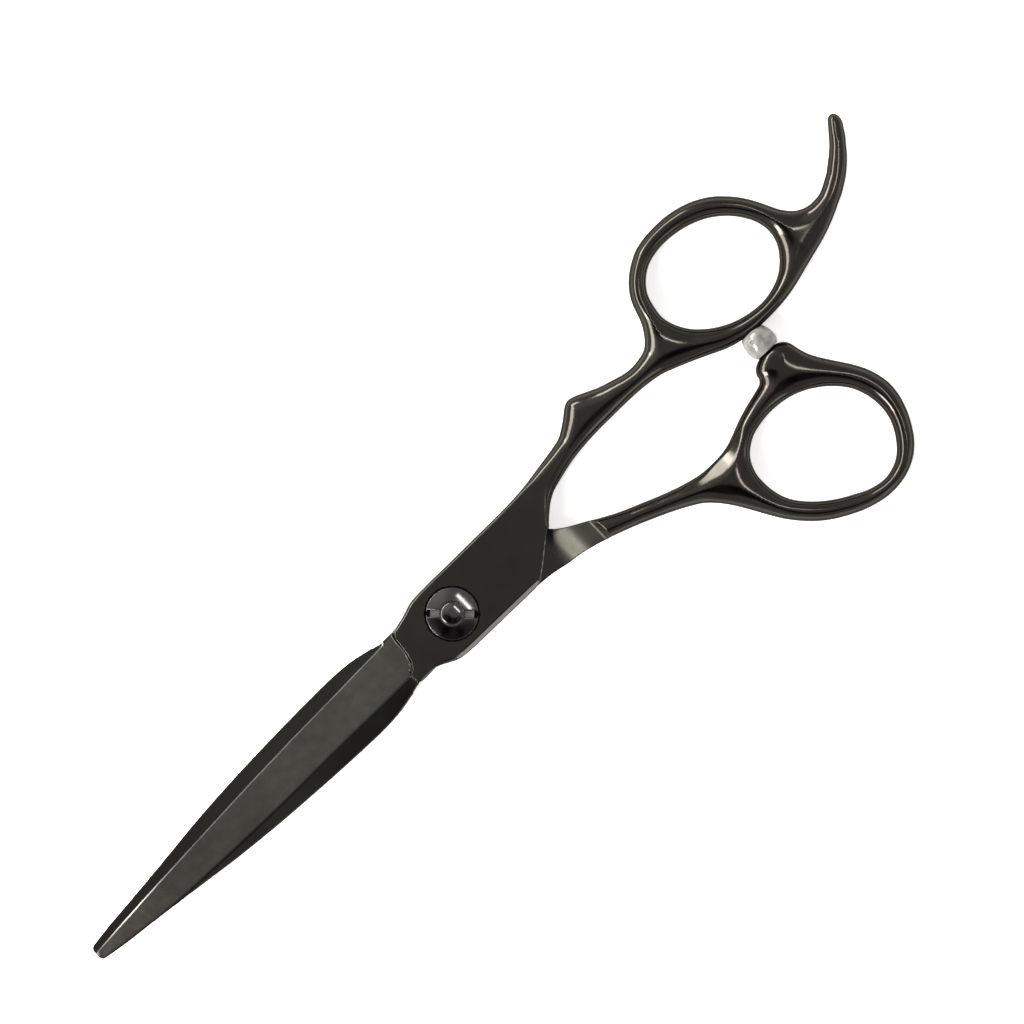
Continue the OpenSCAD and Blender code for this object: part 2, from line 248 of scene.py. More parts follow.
def solid_mesh(field, low, high, h, rounds=3):
    """The field's surface as vertices and quads, with every vertex moved onto it."""
    xs, ys, zs = [np.arange(a - 2 * h, b + 2.5 * h, h) for a, b in zip(low, high)]
    value = field(xs[:, None, None], ys[None, :, None], zs[None, None, :])
    value = np.broadcast_to(value, (len(xs), len(ys), len(zs)))
    verts, faces = surface_net(value, xs, ys, zs)
    for _ in range(rounds):
        g = field_normals(field, verts)
        step = (field(*verts.T) / np.maximum((g * g).sum(1), 0.05))[:, None] * g
        length = np.linalg.norm(step, axis=1)[:, None]
        verts = verts - step * np.minimum(1, 0.4 * h / np.maximum(length, 1e-9))
    return verts, faces


# ---------------------------------------------------------------- outlines of the two halves

STEP_LINE = [(10.6, 4.1), (11.0, 2.5), (10.1, 1.8), (9.6, 1.0), (9.3, 0.0), (9.1, -1.0), (9.0, -2.0),
             (8.8, -3.3), (8.3, -4.2)]
FRONT_EDGE_SIDE = [(8.3, -4.2), (7, -4.6), (6, -4.85), (5, -5.15), (4, -5.5), (3, -5.7), (0, -5.87),
                   (-5, -5.9), (-10, -5.95), (-15, -6.0), (-18, -6.1), (-20, -6.25), (-22, -6.5),
                   (-25, -7.0), (-28, -7.5), (-30, -8.0), (-31.2, -8.7), (-32.6, -9.7), (-33.7, -10.6),
                   (-34.5, -11.05), (-35.1, -11.15), (-36.2, -10.9), (-38, -10.1), (-39.6, -9.4),
                   (-41.9, -8.7), (-43.7, -8.2), (-45.3, -8.0), (-47.1, -8.2), (-48.5, -8.6),
                   (-49.4, -9.3), (-50.3, -10.4), (-51.1, -11.8), (-51.6, -13.2), (-52.1, -14.7),
                   (-52.8, -16.1), (-53.8, -17.4), (-55.1, -18.6), (-56.6, -19.6), (-58.2, -20.4),
                   (-60.4, -20.9), (-62.8, -21.05), (-65.1, -20.95), (-67.1, -20.6), (-69.0, -20.0),
                   (-70.9, -19.1), (-72.4, -18.1), (-73.8, -16.8), (-75.1, -15.3), (-76.3, -13.5),
                   (-77.3, -11.6), (-78.2, -9.8), (-79.1, -8.6), (-80, -7.8), (-81, -7.3),
                   (-82, -7.07), (-83, -7.05), (-84.1, -7.2), (-85.1, -7.6), (-86.1, -8.15),
                   (-87.2, -8.8), (-88.2, -9.6), (-89.2, -10.4), (-90.3, -11.4), (-91.1, -12.3),
                   (-91.8, -13.15), (-92.5, -14.0), (-93.1, -14.6), (-93.8, -14.75), (-94.4, -14.3),
                   (-94.55, -13.5), (-94.4, -12.7), (-93.9, -11.9), (-93.2, -10.8), (-92.3, -9.7),
                   (-91.5, -8.7), (-90.4, -7.55), (-89.2, -6.5), (-88, -5.65), (-86.8, -4.9),
                   (-85.4, -4.2), (-84.1, -3.55), (-82.3, -2.75), (-80, -1.9), (-77.3, -1.15),
                   (-74.9, -0.5), (-72.8, 0.1), (-70.9, 0.55), (-69, 0.85), (-66.8, 1.0),
                   (-64.7, 1.05), (-62.8, 1.0), (-60.9, 0.75), (-59, 0.35), (-57.5, -0.15),
                   (-55.6, -1.0), (-53.7, -1.85), (-51.8, -2.65), (-49.9, -3.4), (-48, -4.05),
                   (-45, -4.5), (-42, -4.65), (-38, -4.65), (-34, -4.55), (-30, -4.15), (-28, -3.75),
                   (-26, -3.25), (-24, -2.65), (-22.5, -1.8), (-21.5, -1.0), (-20.5, -0.1),
                   (-19.7, 0.75)]
FRONT_DIAGONAL = [(-19.7, 0.75), (-19, 1.1), (-18, 1.9), (-17, 2.7), (-16, 3.55), (-15, 4.35),
                  (-14, 5.1), (-13.3, 5.6), (-12.6, 5.9), (-11.8, 6.0), (-6, 6.0), (0, 6.0),
                  (2, 5.95), (3, 5.88), (4, 5.7), (5, 5.28), (6, 4.75), (7, 4.3), (8, 4.06),
                  (9, 4.0), (10, 4.05), (10.6, 4.1)]
FINGER_HOLE = [(-54.15, -9.9), (-54.25, -11.8), (-55.1, -14.6), (-57.5, -17.0), (-60.5, -18.0),
               (-64.7, -17.9), (-69.0, -16.5), (-72.3, -13.95), (-74.4, -10.6), (-74.75, -8.0),
               (-73.95, -5.6), (-71.3, -2.85), (-67.5, -1.5), (-63.5, -1.7), (-59.9, -2.95),
               (-56.8, -5.15), (-55.1, -7.3)]

REAR_STEP = [(8.3, 4.0), (8.8, 3.3), (9.0, 2.0), (9.1, 1.0), (9.3, 0.0), (9.6, -1.0), (10.1, -1.8),
             (10.9, -2.5), (10.6, -4.3)]
REAR_SPINE = [(10.6, -4.3), (10, -4.3), (9, -4.3), (8, -4.4), (7, -4.6), (6, -4.85), (5, -5.2),
              (4, -5.55), (3, -5.75), (2, -5.85), (0, -5.87), (-5, -5.9), (-10, -5.93),
              (-12, -5.9), (-13, -5.6), (-14, -4.9), (-16, -3.4), (-18, -1.2), (-19, 0.3),
              (-20, 1.5), (-21, 2.2), (-22, 2.8), (-24, 3.85), (-26, 4.95), (-28, 6.0), (-30, 6.9),
              (-32.5, 7.9), (-35, 8.9), (-38, 9.95), (-40, 10.5), (-41.6, 10.85), (-43.4, 10.97),
              (-45, 10.95), (-46.6, 10.8), (-48, 10.45), (-49.7, 9.8), (-51.4, 9.1), (-53.2, 8.5),
              (-55, 8.0), (-56.6, 7.6), (-57.6, 7.25), (-58.05, 6.75), (-58.25, 6.0), (-58.8, 5.25),
              (-59.7, 4.7), (-60.9, 4.4), (-62.2, 4.35), (-63.4, 4.5), (-64.4, 4.9), (-65.1, 5.6),
              (-65.45, 6.5), (-65.7, 7.6), (-66.1, 8.8), (-66.8, 10.2), (-67.7, 11.6), (-68.8, 13.2),
              (-70, 15), (-71, 16.85), (-71.7, 18.9), (-72, 21), (-71.8, 23.2), (-71.1, 25.5),
              (-70.1, 27.6), (-68.6, 29.8), (-66.8, 31.4), (-64.6, 32.5), (-62.4, 33.0),
              (-60.3, 33.07), (-58.2, 32.75), (-55.9, 32.05), (-53.6, 31.0), (-51.4, 29.75),
              (-49.5, 28.3), (-47.7, 26.5), (-46.1, 24.5), (-44.8, 22.4), (-43.6, 20.3),
              (-42.5, 18.5), (-41.4, 16.9), (-40.2, 15.5), (-39, 14.4), (-37, 13.2), (-35, 12.2),
              (-33, 11.3), (-30, 10.05), (-28, 9.3), (-26, 8.6), (-24, 7.95), (-22, 7.4), (-20, 7.0),
              (-18, 6.75), (-16, 6.35), (-14, 6.08), (-12, 5.98), (-6, 5.95), (0, 5.93), (2.5, 5.8),
              (4, 5.5), (5.3, 5.0), (7, 4.25), (8.3, 4.0)]
THUMB_HOLE = [(-47.8, 18), (-48.0, 16.4), (-49.1, 14.15), (-51.4, 12.4), (-54.1, 11.65),
              (-56.8, 11.5), (-59.6, 11.9), (-62.3, 12.95), (-65.2, 15.0), (-67.5, 17.9),
              (-68.5, 21.6), (-68.2, 24.7), (-66.8, 27.5), (-64.6, 29.75), (-61.8, 30.7),
              (-59, 30.35), (-56.4, 29.2), (-53.6, 27.6), (-50.9, 25.4), (-48.9, 22.9),
              (-48.05, 20.6)]

# Sections along X: how far the rounding of the long edges reaches in, how square the section is (2 is an
# ellipse), its half height, and the width of the crisp bevel
ROUND_X = [-94, -91, -86, -80, -76, -50, -45, -38, -28, -24, -21.5, -19.5, -16]
ROUND_R = [0.75, 0.95, 1.25, 1.35, 1.3, 1.3, 1.5, 1.7, 1.55, 1.4, 1.0, 0.75, 0.7]
SQUARE_X = [-30, -26, -20]
SQUARE_P = [2.1, 2.6, 4.0]
HEIGHT_X = [-94.6, -92, -88, -82, -77, -30, -26, -20]
HEIGHT_H = [1.2, 1.65, 1.85, 2.15, 2.4, 2.4, 2.52, HALF_H]
BEVEL_X = [-19.6, -18, -14, -12.8, -11.5, 3, 4, 5, 6, 7, 8.5]
BEVEL_W = [0, 0.33, 0.36, 0.6, 0.8, 0.8, 0.66, 0.48, 0.36, 0.25, 0]
BEVEL_SLOPE = 0.72
# The facet that climbs from the inner face behind the pad to the top of the shank
FACET_X = -17.0
FACET_STEP = 0.02
FACET_RUN = np.arange(0, 14, FACET_STEP)
FACET_SLOPE = 0.46 * np.exp(-((FACET_RUN - 3.2) / 1.9) ** 2) * (1 - np.exp(-(FACET_RUN / 1.3) ** 2))
FACET_SLOPE += 1.3 / (1 + np.exp(-(FACET_RUN - 7.75) / 0.12))
FACET_RISE = np.cumsum(FACET_SLOPE) * FACET_STEP


def half_outline(pieces, hole):
    """Outline of one half from (points, rounding, whether it has the crisp bevel)."""
    loop, reach, bevel = [], [], []
    for points, r, bevelled in pieces:
        c = spline(points)[:-1]
        loop.append(c)
        by_x = np.interp(c[:, 0], ROUND_X, ROUND_R)
        reach.append(by_x if r is None else np.full(len(c), r))
        bevel.append(np.interp(c[:, 0], BEVEL_X, BEVEL_W) if bevelled else np.zeros(len(c)))
    loop, reach, bevel = np.vstack(loop), np.concatenate(reach), np.concatenate(bevel)
    width = 9
    kernel = np.ones(2 * width + 1) / (2 * width + 1)
    reach = np.convolve(np.concatenate([reach[-width:], reach, reach[:width]]), kernel, "valid")
    x, y = loop[:, 0], loop[:, 1]
    if (x * np.roll(y, -1) - np.roll(x, -1) * y).sum() < 0:
        loop, reach, bevel = loop[::-1], reach[::-1], bevel[::-1]
    inner = turned(ring_spline(hole), inside_left=False)
    reach = np.concatenate([reach, np.interp(inner[:, 0], ROUND_X, ROUND_R)])
    bevel = np.concatenate([bevel, np.zeros(len(inner))])
    return Outline([loop, inner], [reach, bevel])


front_outline = half_outline(
    [(STEP_LINE, 0.12, False), (FRONT_EDGE_SIDE, None, False), (FRONT_DIAGONAL, 0.15, True)],
    FINGER_HOLE)
pad_end = next(k for k, p in enumerate(REAR_SPINE) if p[0] <= -20)
rear_outline = half_outline(
    [(REAR_STEP, 0.12, False), (REAR_SPINE[:pad_end + 1], 0.15, True), (REAR_SPINE[pad_end:], None, False)],
    THUMB_HOLE)


class Breadth:
    """How far in the rounding of the handles reaches: most of the local half width."""

    def __init__(self, outline, step=0.45, spread=2.6, share=0.96):
        low, high = outline.points.min(0) - 4, outline.points.max(0) + 4
        self.low, self.step = low, step
        xs, ys = [np.arange(a, b, step) for a, b in zip(low, high)]
        d, _ = outline.distance(*np.meshgrid(xs, ys, indexing="ij"))
        inside = np.maximum(d, 0)
        wide = inside.copy()
        n = int(spread / step)
        for i in range(-n, n + 1):
            for j in range(-n, n + 1):
                if i * i + j * j <= n * n:
                    wide = np.maximum(wide, np.roll(inside, (i, j), (0, 1)))
        for _ in range(4):
            for axis in (0, 1):
                wide = (np.roll(wide, 1, axis) + wide + np.roll(wide, -1, axis)) / 3
        self.value = np.clip(wide * share, 0.5, 4.0)

    def at(self, x, y):
        i = np.clip((x - self.low[0]) / self.step, 0, self.value.shape[0] - 1.001)
        j = np.clip((y - self.low[1]) / self.step, 0, self.value.shape[1] - 1.001)
        i0, j0 = np.floor(i).astype(int), np.floor(j).astype(int)
        u, v = i - i0, j - j0
        g = self.value
        return ((g[i0, j0] * (1 - u) + g[i0 + 1, j0] * u) * (1 - v)
                + (g[i0, j0 + 1] * (1 - u) + g[i0 + 1, j0 + 1] * u) * v)


# The bumper's seat on the boss of the thumb ring
SEAT_X, SEAT_Y, SEAT_R = -62.0, 4.3, 2.0
# Handles turn fully round between these
ROUND_START, ROUND_RUN = -20.5, 5.0
# The dish where the thumb shank meets its ring: a place on it, its rise along Y, its rise along the shank,
# its curve towards the ring, and where and how fast it runs out along the shank
DISH_X, DISH_Y, DISH_Z = -44.4, 13.7, 5.1
DISH_RISE = 0.52
DISH_LEAN = 0.19
DISH_CURVE = 0.04
DISH_END = 3.5
DISH_FADE = 0.03


def half_field(outline, side, holes, dished=False):
    """Field of one half, negative inside. side is 1 for the upper half and -1 for the lower.
    holes is a list of (radius, lowest u, highest u) around the pivot axis."""
    breadth = Breadth(outline)

    def field(x, y, z):
        flat_x, flat_y = np.broadcast_arrays(x, y)
        if flat_x.ndim == 3:
            d, (reach, bevel) = outline.distance(flat_x[:, :, 0], flat_y[:, :, 0])
            d, reach, bevel = d[..., None], reach[..., None], bevel[..., None]
        else:
            d, (reach, bevel) = outline.distance(flat_x, flat_y)
        blend = np.clip((ROUND_START - x) / ROUND_RUN, 0, 1)
        blend = blend * blend * (3 - 2 * blend)
        # the boss is squarer where the bumper sits
        seat = np.exp(-((x - SEAT_X) ** 2 + (y - SEAT_Y) ** 2) / SEAT_R ** 2)
        reach = reach * (1 - blend) + breadth.at(x, y) * blend * (1 - 0.5 * seat)
        u = (z - MID_Z) * side
        power = np.interp(x, SQUARE_X, SQUARE_P)
        height = np.interp(x, HEIGHT_X, HEIGHT_H)
        lean = np.maximum(1 - d / reach, 0)
        rise = np.abs(u) / height
        s = np.maximum(lean ** power + rise ** power, 1e-6) ** (1 / power)
        grad_d = (lean / s) ** (power - 1) / reach
        grad_u = (rise / s) ** (power - 1) / height
        body = (s - 1) / np.maximum(np.hypot(grad_d, grad_u), 0.3 / height)
        # the inner face
        hollow = np.interp(FACET_X - x, FACET_RUN, FACET_RISE)
        steep = 1 / np.hypot(1, np.interp(FACET_X - x, FACET_RUN, FACET_SLOPE))
        inner = (GAP - hollow - u) * steep
        out = smooth_max(body, inner, 0.1)
        plane = (u - height + BEVEL_SLOPE * (bevel - d)) / math.hypot(1, BEVEL_SLOPE)
        plane = np.where(bevel > 0.02, plane, -5.0)
        out = smooth_max(out, plane, 0.06)
        if dished:
            run = x - DISH_X
            lift = np.where(run > 0, DISH_LEAN * (np.sqrt(run ** 2 + 1) - 1), DISH_CURVE * run ** 2)
            lift = lift + DISH_FADE * np.maximum(run - DISH_END, 0) ** 2
            dish = z - DISH_Z - DISH_RISE * (y - DISH_Y) - lift
            out = smooth_max(out, dish / math.hypot(1, DISH_RISE), 0.2)
        r = np.sqrt(x * x + y * y)
        for radius, low_u, high_u in holes:
            bore = np.maximum(r - radius, np.maximum(low_u - u, u - high_u))
            out = smooth_max(out, -bore, 0.03)
        return out

    return field


# Radii of the pivot's holes: the front half's bore and counterbore, and the rear half's bore, recess for
# the stud's head and recess for the slip washer
FRONT_BORE_R = 3.0
COUNTERBORE_R = 4.12
COUNTERBORE_Z = 3.5
REAR_BORE_R = 2.25
HEAD_R = 3.76
HEAD_T = 0.9
SLIP_R = 4.0
SLIP_Z = 2.4
THROUGH = 9.0
front_field = half_field(
    front_outline, 1,
    [(FRONT_BORE_R, -THROUGH, THROUGH), (COUNTERBORE_R, COUNTERBORE_Z - MID_Z, THROUGH)])
rear_field = half_field(
    rear_outline, -1,
    [(REAR_BORE_R, -THROUGH, THROUGH), (HEAD_R, MID_Z - HEAD_T, THROUGH), (SLIP_R, -THROUGH, MID_Z - SLIP_Z)],
    dished=True)


# ---------------------------------------------------------------- mesh parts

class Parts:
    """Pieces of mesh gathered for one object: vertices in mm, faces, corner normals, material numbers."""

    def __init__(self):
        self.verts, self.faces, self.normals, self.slots = [], [], [], []
        self.count = 0

    def add(self, verts, faces, normals, slot=0):
        """normals holds one normal for each corner of each face."""
        self.verts.append(np.asarray(verts, float))
        self.faces += [[v + self.count for v in f] for f in faces]
        self.normals += normals
        self.slots += slot if isinstance(slot, list) else [slot] * len(faces)
        self.count += len(verts)
        return self

    def object(self, name, materials):
        mesh = bpy.data.meshes.new(name)
        verts = np.vstack(self.verts) * MM
        mesh.from_pydata(verts.tolist(), [], self.faces)
        for m in materials:
            mesh.materials.append(m)
        mesh.polygons.foreach_set("material_index", self.slots)
        mesh.polygons.foreach_set("use_smooth", [True] * len(self.faces))
        mesh.update()
        mesh.normals_split_custom_set([n for corner in self.normals for n in corner])
        obj = bpy.data.objects.new(name, mesh)
        bpy.context.scene.collection.objects.link(obj)
        return obj


def split_at(verts, faces, x, keep_low):
    """The part of a closed mesh on one side of a plane across X, closed with a flat cap."""
    bm = bmesh.new()
    made = [bm.verts.new(v) for v in verts.tolist()]
    for f in faces.tolist():
        if len(set(f)) > 2:
            try:
                bm.faces.new([made[k] for k in f])
            except ValueError:
                pass
    geom = bm.verts[:] + bm.edges[:] + bm.faces[:]
    bmesh.ops.bisect_plane(bm, geom=geom, dist=1e-6, plane_co=(x, 0, 0),
                           plane_no=(1, 0, 0) if keep_low else (-1, 0, 0), clear_outer=True)
    rim = [e for e in bm.edges if e.is_boundary]
    bmesh.ops.holes_fill(bm, edges=rim, sides=0)
    bm.normal_update()
    bm.verts.index_update()
    out_v = np.array([v.co[:] for v in bm.verts])
    out_f = [[v.index for v in f.verts] for f in bm.faces]
    caps = [all(abs(v.co.x - x) < 1e-5 for v in f.verts) for f in bm.faces]
    bm.free()
    return out_v, out_f, caps


def field_part(parts, field, verts, faces, caps=None, cap_normal=(1, 0, 0), slot=0):
    """Adds a mesh of a field's surface, with the field's own normals."""
    g = field_normals(field, verts)
    g /= np.maximum(np.linalg.norm(g, axis=1)[:, None], 1e-9)
    g = g.tolist()
    caps = caps or [False] * len(faces)
    normals = [[cap_normal] * len(f) if cap else [g[k] for k in f] for f, cap in zip(faces, caps)]
    return parts.add(verts, faces, normals, slot)


# Stations along a blade, with the inner face at height 0 and the spine towards +Y:
# X, Y of the cutting edge, Y of the ridge, Y of the spine, height of the ridge, height of the spine
BLADE = [
    (7, -4.2, 2.5, 3.9, 2.3, 1.9), (9.6, -4.27, 2.5, 3.95, 2.3, 1.8), (10.3, -4.27, 2.5, 4, 2.3, 1.8),
    (10.6, -4.2, 2.5, 4.05, 2.3, 1.78), (10.9, -4.03, 2.5, 4.15, 2.3, 1.75),
    (11.3, -3.92, 2.5, 4.22, 2.3, 1.72), (12, -3.87, 2.5, 4.4, 2.3, 1.68),
    (13, -3.82, 2.53, 4.65, 2.29, 1.62), (14, -3.78, 2.55, 4.95, 2.28, 1.52),
    (15, -3.75, 2.58, 5.15, 2.27, 1.45), (16, -3.72, 2.6, 5.35, 2.25, 1.38),
    (18, -3.65, 2.6, 5.5, 2.23, 1.28), (20, -3.55, 2.6, 5.6, 2.2, 1.22), (25, -3.4, 2.6, 5.5, 2.12, 1.15),
    (30, -3.25, 2.7, 5.35, 2.05, 1.12), (35, -3.02, 2.8, 5.12, 1.95, 1.1),
    (40, -2.8, 2.85, 4.85, 1.85, 1.1), (45, -2.5, 2.82, 4.48, 1.73, 1.1), (50, -2.2, 2.75, 4.02, 1.6, 1.1),
    (55, -1.88, 2.65, 3.4, 1.45, 1.14), (58, -1.7, 2.55, 3.02, 1.36, 1.18),
    (61, -1.52, 2.4, 2.68, 1.27, 1.17), (65, -1.22, 2, 2.22, 1.08, 1.02),
    (70, -0.85, 1.52, 1.72, 0.8, 0.75), (73, -0.58, 1.1, 1.3, 0.56, 0.52),
    (74.2, -0.46, 0.95, 1.1, 0.46, 0.43), (74.5, -0.34, 0.72, 0.86, 0.42, 0.39),
    (74.69, -0.12, 0.36, 0.5, 0.38, 0.35),]
FLAT_STEPS = 10
HEEL_X = 12.0
HEEL_EDGE = -3.87


def arc(a, b, c, n):
    """Points on the curve from a to c drawn towards b, the ends included."""
    t = np.linspace(0, 1, n)[:, None]
    return (1 - t) ** 2 * a + 2 * t * (1 - t) * b + t ** 2 * c


def blade_section(s):
    """Closed section of a blade as (Y, height), from the cutting edge over the ridge."""
    x, edge, ridge, spine, ridge_h, spine_h = s
    width = spine - edge
    foot = np.array([edge, 0.0])
    lip = np.array([edge, 0.05])
    top = np.array([ridge, ridge_h])
    hone_y = edge + min(0.2, 0.12 * width)
    hone_h = 0.05 + min(0.16, 0.1 * ridge_h)
    if x < HEEL_X:
        # the heel flares out, while the flat stays in one plane
        hone_h = ridge_h - (ridge_h - hone_h) * (ridge - hone_y) / (ridge - HEEL_EDGE - 0.2)
    hone = np.array([hone_y, max(hone_h, 0.07)])
    side = np.array([spine, spine_h])
    r1 = min(0.35, 0.25 * width)
    r2 = min(0.25, 0.3 * (spine - ridge))
    to_hone = (hone - top) / np.linalg.norm(hone - top)
    to_side = (side - top) / np.linalg.norm(side - top)
    flat = [hone + (top + to_hone * r1 - hone) * k / FLAT_STEPS for k in range(FLAT_STEPS)]
    crown = arc(top + to_hone * r1, top, top + to_side * r2, 6)
    edge_round = arc(side - to_side * r2, side, side - np.array([0, 0.3 * spine_h]), 5)
    low = np.array([spine, 0.12])
    inner = np.array([spine - 0.1, 0.0])
    return np.vstack([foot, lip, flat, crown, edge_round, low, inner])


def step_x(y):
    """X of the foot of the step at the end of the pad, for a Y across the blade."""
    line = sorted((b, a) for a, b in STEP_LINE[1:])
    return np.interp(y, [b for b, a in line], [a for b, a in line])


def blade_stations():
    """Stations along a blade, closer together at the heel, where the flat runs out in a cove."""
    rows = np.array(BLADE, float)
    xs = np.unique(np.concatenate([
        np.arange(8.0, 12.6, 0.12), np.arange(12.6, 74, 0.9), rows[-8:, 0], [7.0]]))
    fine = np.array([[x] + [float(np.interp(x, rows[:, 0], rows[:, k])) for k in range(1, 6)] for x in xs])
    middle = (fine[:, 0] > 12.5) & (fine[:, 0] < 68)
    for k in range(1, 6):
        v = fine[:, k]
        for _ in range(3):
            smooth = v.copy()
            smooth[1:-1] = (v[:-2] + 2 * v[1:-1] + v[2:]) / 4
            v = np.where(middle, smooth, v)
        fine[:, k] = v
    return fine


# Height that the cove at the foot of the step climbs towards, and its share of that climb
COVE_TOP = 2.5
COVE_SHARE = 0.8


def blade_part(parts, place, slot, hone_slot):
    """Adds the tapering part of a blade. place turns (x, y, h) into the frame."""
    sections = []
    for s in blade_stations():
        pts = blade_section(s)
        cove = 0.1 + 0.3 * np.clip((-1.4 - pts[:, 0]) / 2.4, 0, 1)
        lift = np.clip(1 - (s[0] - step_x(pts[:, 0])) / cove, 0, 1) ** 2.2
        top = (pts[:, 1] > 0.04) & (pts[:, 0] < s[3] - 0.02)
        pts[:, 1] = np.where(top, pts[:, 1] + lift * (COVE_TOP - pts[:, 1]) * COVE_SHARE, pts[:, 1])
        sections.append(np.column_stack([np.full(len(pts), s[0]), pts]))
    grid = np.array(sections)
    n, m = grid.shape[:2]
    grid = place(grid.reshape(-1, 3)).reshape(n, m, 3)
    along = np.gradient(grid, axis=0)
    across = np.roll(grid, -1, axis=1) - grid
    faces, normals, slots = [], [], []
    for i in range(n - 1):
        for j in range(m):
            k = (j + 1) % m
            quad = [(i, j), (i + 1, j), (i + 1, k), (i, k)]
            corners = []
            for row, column in quad:
                c = np.cross(along[row, column], across[row, j])
                corners.append(c / max(np.linalg.norm(c), 1e-12))
            # normals point away from the middle of the blade
            centre = grid[[i, i + 1], :].reshape(-1, 3).mean(0)
            outside = sum(grid[row, column] for row, column in quad) / 4 - centre
            if np.dot(corners[0], outside) < 0:
                quad = quad[::-1]
                corners = [-v for v in corners[::-1]]
            faces.append([row * m + column for row, column in quad])
            normals.append([v.tolist() for v in corners])
            slots.append(hone_slot if j in (0, 1) else slot)
    for i, s in ((0, -1), (n - 1, 1)):
        ring = [i * m + column for column in range(m)]
        faces.append(ring if s > 0 else ring[::-1])
        normals.append([[float(s), 0.0, 0.0]] * m)
        slots.append(slot)
    # the order of the corners follows the normals
    flat = grid.reshape(-1, 3)
    for f, face in enumerate(faces):
        p = flat[face] - flat[face[0]]
        turn = np.cross(p, np.roll(p, -1, axis=0)).sum(0)
        if np.dot(turn, np.array(normals[f]).mean(0)) < 0:
            faces[f] = face[::-1]
            normals[f] = normals[f][::-1]
    return parts.add(flat, faces, normals, slots)


def place_front(p):
    """Blade coordinates to the frame, for the upper half."""
    return p + np.array([0, 0, FRONT_LOW])


# Degrees that the rear blade is turned, so that its edge lies just under the front one
REAR_TURN = 0.3


def place_rear(p):
    """Blade coordinates to the frame, for the lower half, which lies face up."""
    a = math.radians(REAR_TURN)
    x = p[:, 0] * math.cos(a) - p[:, 1] * math.sin(a)
    y = p[:, 0] * math.sin(a) + p[:, 1] * math.cos(a)
    return np.column_stack([x, -y, REAR_TOP - p[:, 2]])


# ---------------------------------------------------------------- materials

def new_material(name):
    """A material with its node tree, links and shader."""
    m = bpy.data.materials.new(name)
    m.use_nodes = True
    nodes = m.node_tree.nodes
    return m, nodes, m.node_tree.links, nodes["Principled BSDF"]


def noise(nodes, links, where, scale, detail, roughness):
    """Noise over a set of coordinates."""
    n = nodes.new("ShaderNodeTexNoise")
    for k, v in (("Scale", scale), ("Detail", detail), ("Roughness", roughness)):
        n.inputs[k].default_value = v
    links.new(where, n.inputs["Vector"])
    return n.outputs["Fac"]


def tone_ramp(nodes, links, place, scale, roughness, start, dark, end, light, detail=3.0):
    """Colour that drifts between dark and light across the object."""
    tone = noise(nodes, links, place.outputs["Object"], scale, detail, roughness)
    ramp = nodes.new("ShaderNodeValToRGB")
    for element, position, colour in zip(ramp.color_ramp.elements, (start, end), (dark, light)):
        element.position = position
        element.color = (*colour, 1)
    links.new(tone, ramp.inputs["Fac"])
    return ramp.outputs["Color"]


def map_range(nodes, links, value, start, end, low=0.0, high=1.0, smooth=False):
    """From low to high as value goes from start to end."""
    span = nodes.new("ShaderNodeMapRange")
    if smooth:
        span.interpolation_type = "SMOOTHSTEP"
    for k, v in (("From Min", start), ("From Max", end), ("To Min", low), ("To Max", high)):
        span.inputs[k].default_value = v
    links.new(value, span.inputs["Value"])
    return span.outputs["Result"]


def combine(nodes, links, operation, *values):
    """Arithmetic on sockets and plain numbers."""
    n = nodes.new("ShaderNodeMath")
    n.operation = operation
    for socket, value in zip(n.inputs, values):
        if isinstance(value, float):
            socket.default_value = value
        else:
            links.new(value, socket)
    return n.outputs[0]


def relief(nodes, links, bsdf, height, strength):
    """Fine bump from a height."""
    bump = nodes.new("ShaderNodeBump")
    bump.inputs["Strength"].default_value = strength
    bump.inputs["Distance"].default_value = BUMP_HEIGHT
    links.new(height, bump.inputs["Height"])
    links.new(bump.outputs["Normal"], bsdf.inputs["Normal"])


# Metres
BUMP_HEIGHT = 0.00003
# Normal Z over which the bevel's colour fades in and out
BEVEL_LEAN = ((0.775, 0.795), (0.85, 0.828))
# The coating reflects less than bare metal at grazing angles
GRAZING = (0.4, 0.4, 0.4, 1)


